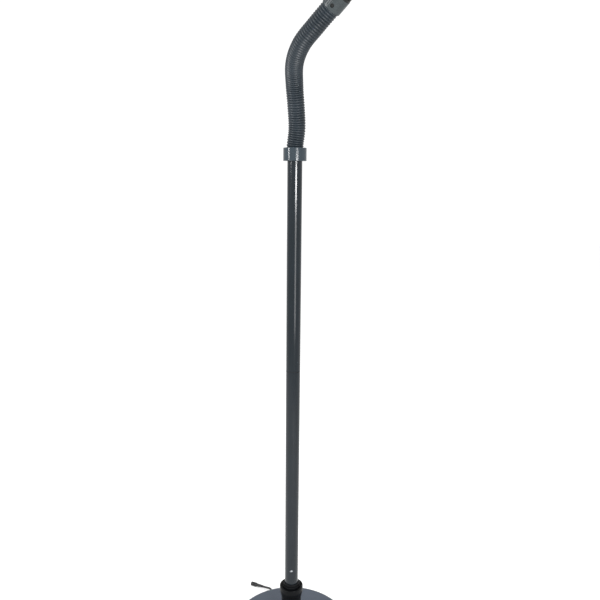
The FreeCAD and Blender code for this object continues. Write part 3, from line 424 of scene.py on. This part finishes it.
LEAD_EXIT_ANGLE = math.radians(109.7)
BASE_RADIUS = 114 * MM
CONNECTOR_RADIUS = 4 * MM
RIDGE_RISES = (17.0, 19.2, 21.4)
RIDGE_WIDTH = 1
LEAD_RADIUS = 2 * MM
LEAD_ROUTE = (
    (-3.236, 9.038, 7.0), (-5.831, 16.285, 7.0), (-10.5, 22.3, 5.8), (-16.9, 26.7, 4.1),
    (-24.5, 29.7, 4.1),
)


def connector_ridges(start, along):
    """Three finger ridges round the moulded connector."""
    place = Matrix.Translation(start) @ along.to_track_quat("Z", "Y").to_matrix().to_4x4()
    return [band(f"connector_ridge_{number}", CONNECTOR_RADIUS, rise * MM,
                 (rise + RIDGE_WIDTH) * MM, "trim_black", "stand", place)
            for number, rise in enumerate(RIDGE_RISES)]


def supply_lead():
    """The short lead behind the base, on its control points."""
    start = Vector((math.cos(LEAD_EXIT_ANGLE), math.sin(LEAD_EXIT_ANGLE), 0)) * BASE_RADIUS
    points = [start + Vector(point) * MM for point in LEAD_ROUTE]
    ridges = connector_ridges(points[-1], points[-1] - points[-2])
    curve = bpy.data.curves.new("supply_lead", "CURVE")
    curve.dimensions = "3D"
    curve.bevel_depth = LEAD_RADIUS
    curve.bevel_resolution = 6
    curve.use_fill_caps = True
    spline = curve.splines.new("NURBS")
    spline.points.add(len(points) - 1)
    for control, point in zip(spline.points, points):
        control.co = (*point, 1)
    spline.order_u = 3
    spline.use_endpoint_u = True
    spline.resolution_u = 16
    curve.materials.append(FINISHES["cord_black"])
    lead = bpy.data.objects.new("supply_lead", curve)
    bpy.context.scene.collection.objects.link(lead)
    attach(lead, "stand")
    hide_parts("power_cord")


supply_lead()


# ---------------------------------------------------------------- joint line and painted groove shade on the head

HEAD_RADIUS = 105 * MM
HEAD_DROP = 22 * MM
JOINT_WIDTH = 0.5 * MM
SIDE_SHADE_BAND = (1.2 * MM, 1.9 * MM)


def head_place():
    """The head's own frame: its centre, with Z up through the lens."""
    twist = JOINTS["head_twist"]
    ahead = Vector(twist["axis"])
    up = (Vector((0, 0, 1)) - ahead * ahead.z).normalized()
    centre = Vector(twist["pos_m"]) + ahead * HEAD_RADIUS
    return Matrix.Translation(centre) @ up.to_track_quat("Z", "Y").to_matrix().to_4x4()


def head_lines():
    """The dark joint above the bezel, and painted shade round the side: a black band standing for the shade in the
    moulded groove there.
    """
    place = head_place()
    band("head_joint", HEAD_RADIUS, -HEAD_DROP, -HEAD_DROP + JOINT_WIDTH, "trim_black", "head",
         place)
    # painted shade: a black band in place of the shade that falls in the moulded side groove of the grey shell
    band("head_side_groove_painted_shade", HEAD_RADIUS, *SIDE_SHADE_BAND, "trim_black", "head", place)


head_lines()


# ---------------------------------------------------------------- studio

WORLD_STRENGTH = 1.07
FLOOR_REACH = 8
SOFTBOXES = (  # name, place, target, width and height, watts
    ("strip_right", (0.54, -1.28, 0.855), (0, 0, 0.87), (0.5, 0.15), 15),
    ("strip_low", (0.54, -1.28, 0.515), (0, 0, 0.7), (0.5, 0.5), 6),
    ("box_left", (-1.3, -0.75, 1.36), (0, 0, 0.95), (0.2, 0.84), 25),
    ("overhead", (0.1, -0.4, 2.6), (0, 0, 0.2), (1.6, 1.6), 3),
)


def studio_floor():
    """A wide sheet of white paper under the lamp."""
    shape = bmesh.new()
    bmesh.ops.create_grid(shape, x_segments=1, y_segments=1, size=FLOOR_REACH)
    mesh = bpy.data.meshes.new("studio_floor")
    shape.to_mesh(mesh)
    shape.free()
    paper = finish("white paper sweep", Base_Color=srgb("#FAFAFA"), Roughness=0.95)[0]
    mesh.materials.append(paper)
    floor = bpy.data.objects.new("studio_floor", mesh)
    bpy.context.scene.collection.objects.link(floor)


def softbox(name, place, target, size, power):
    """A rectangular light that faces its target."""
    light = bpy.data.lights.new(name, "AREA")
    light.shape = "RECTANGLE"
    light.size, light.size_y = size
    light.energy = power
    lamp = bpy.data.objects.new(name, light)
    lamp.location = place
    lamp.rotation_mode = "QUATERNION"
    lamp.rotation_quaternion = (Vector(target) - Vector(place)).to_track_quat("-Z", "Y")
    bpy.context.scene.collection.objects.link(lamp)


def studio():
    """Paper, white surroundings and four soft lights."""
    studio_floor()
    world = bpy.data.worlds.new("studio")
    world.use_nodes = True
    background = world.node_tree.nodes["Background"]
    background.inputs["Color"].default_value = srgb("#FFFFFF")
    background.inputs["Strength"].default_value = WORLD_STRENGTH
    bpy.context.scene.world = world
    for box in SOFTBOXES:
        softbox(*box)
    bpy.context.scene.view_settings.view_transform = "Standard"


CAMERA_PLACE = Vector((10.9, -1050.4, 863.5)) * MM
FOCAL_SHARE = 1.0297
PITCH = math.radians(11)
ROLL = 0.0103


def camera():
    """A little below the collar, just over a metre in front of the pole."""
    data = bpy.data.cameras.new("camera")
    data.lens = data.sensor_width * FOCAL_SHARE
    data.clip_start = 0.02
    eye = bpy.data.objects.new("camera", data)
    turn = Matrix.Rotation(math.pi / 2 - PITCH, 4, "X") @ Matrix.Rotation(ROLL, 4, "Z")
    eye.matrix_world = Matrix.Translation(CAMERA_PLACE) @ turn
    bpy.context.scene.collection.objects.link(eye)
    bpy.context.scene.camera = eye


studio()
camera()
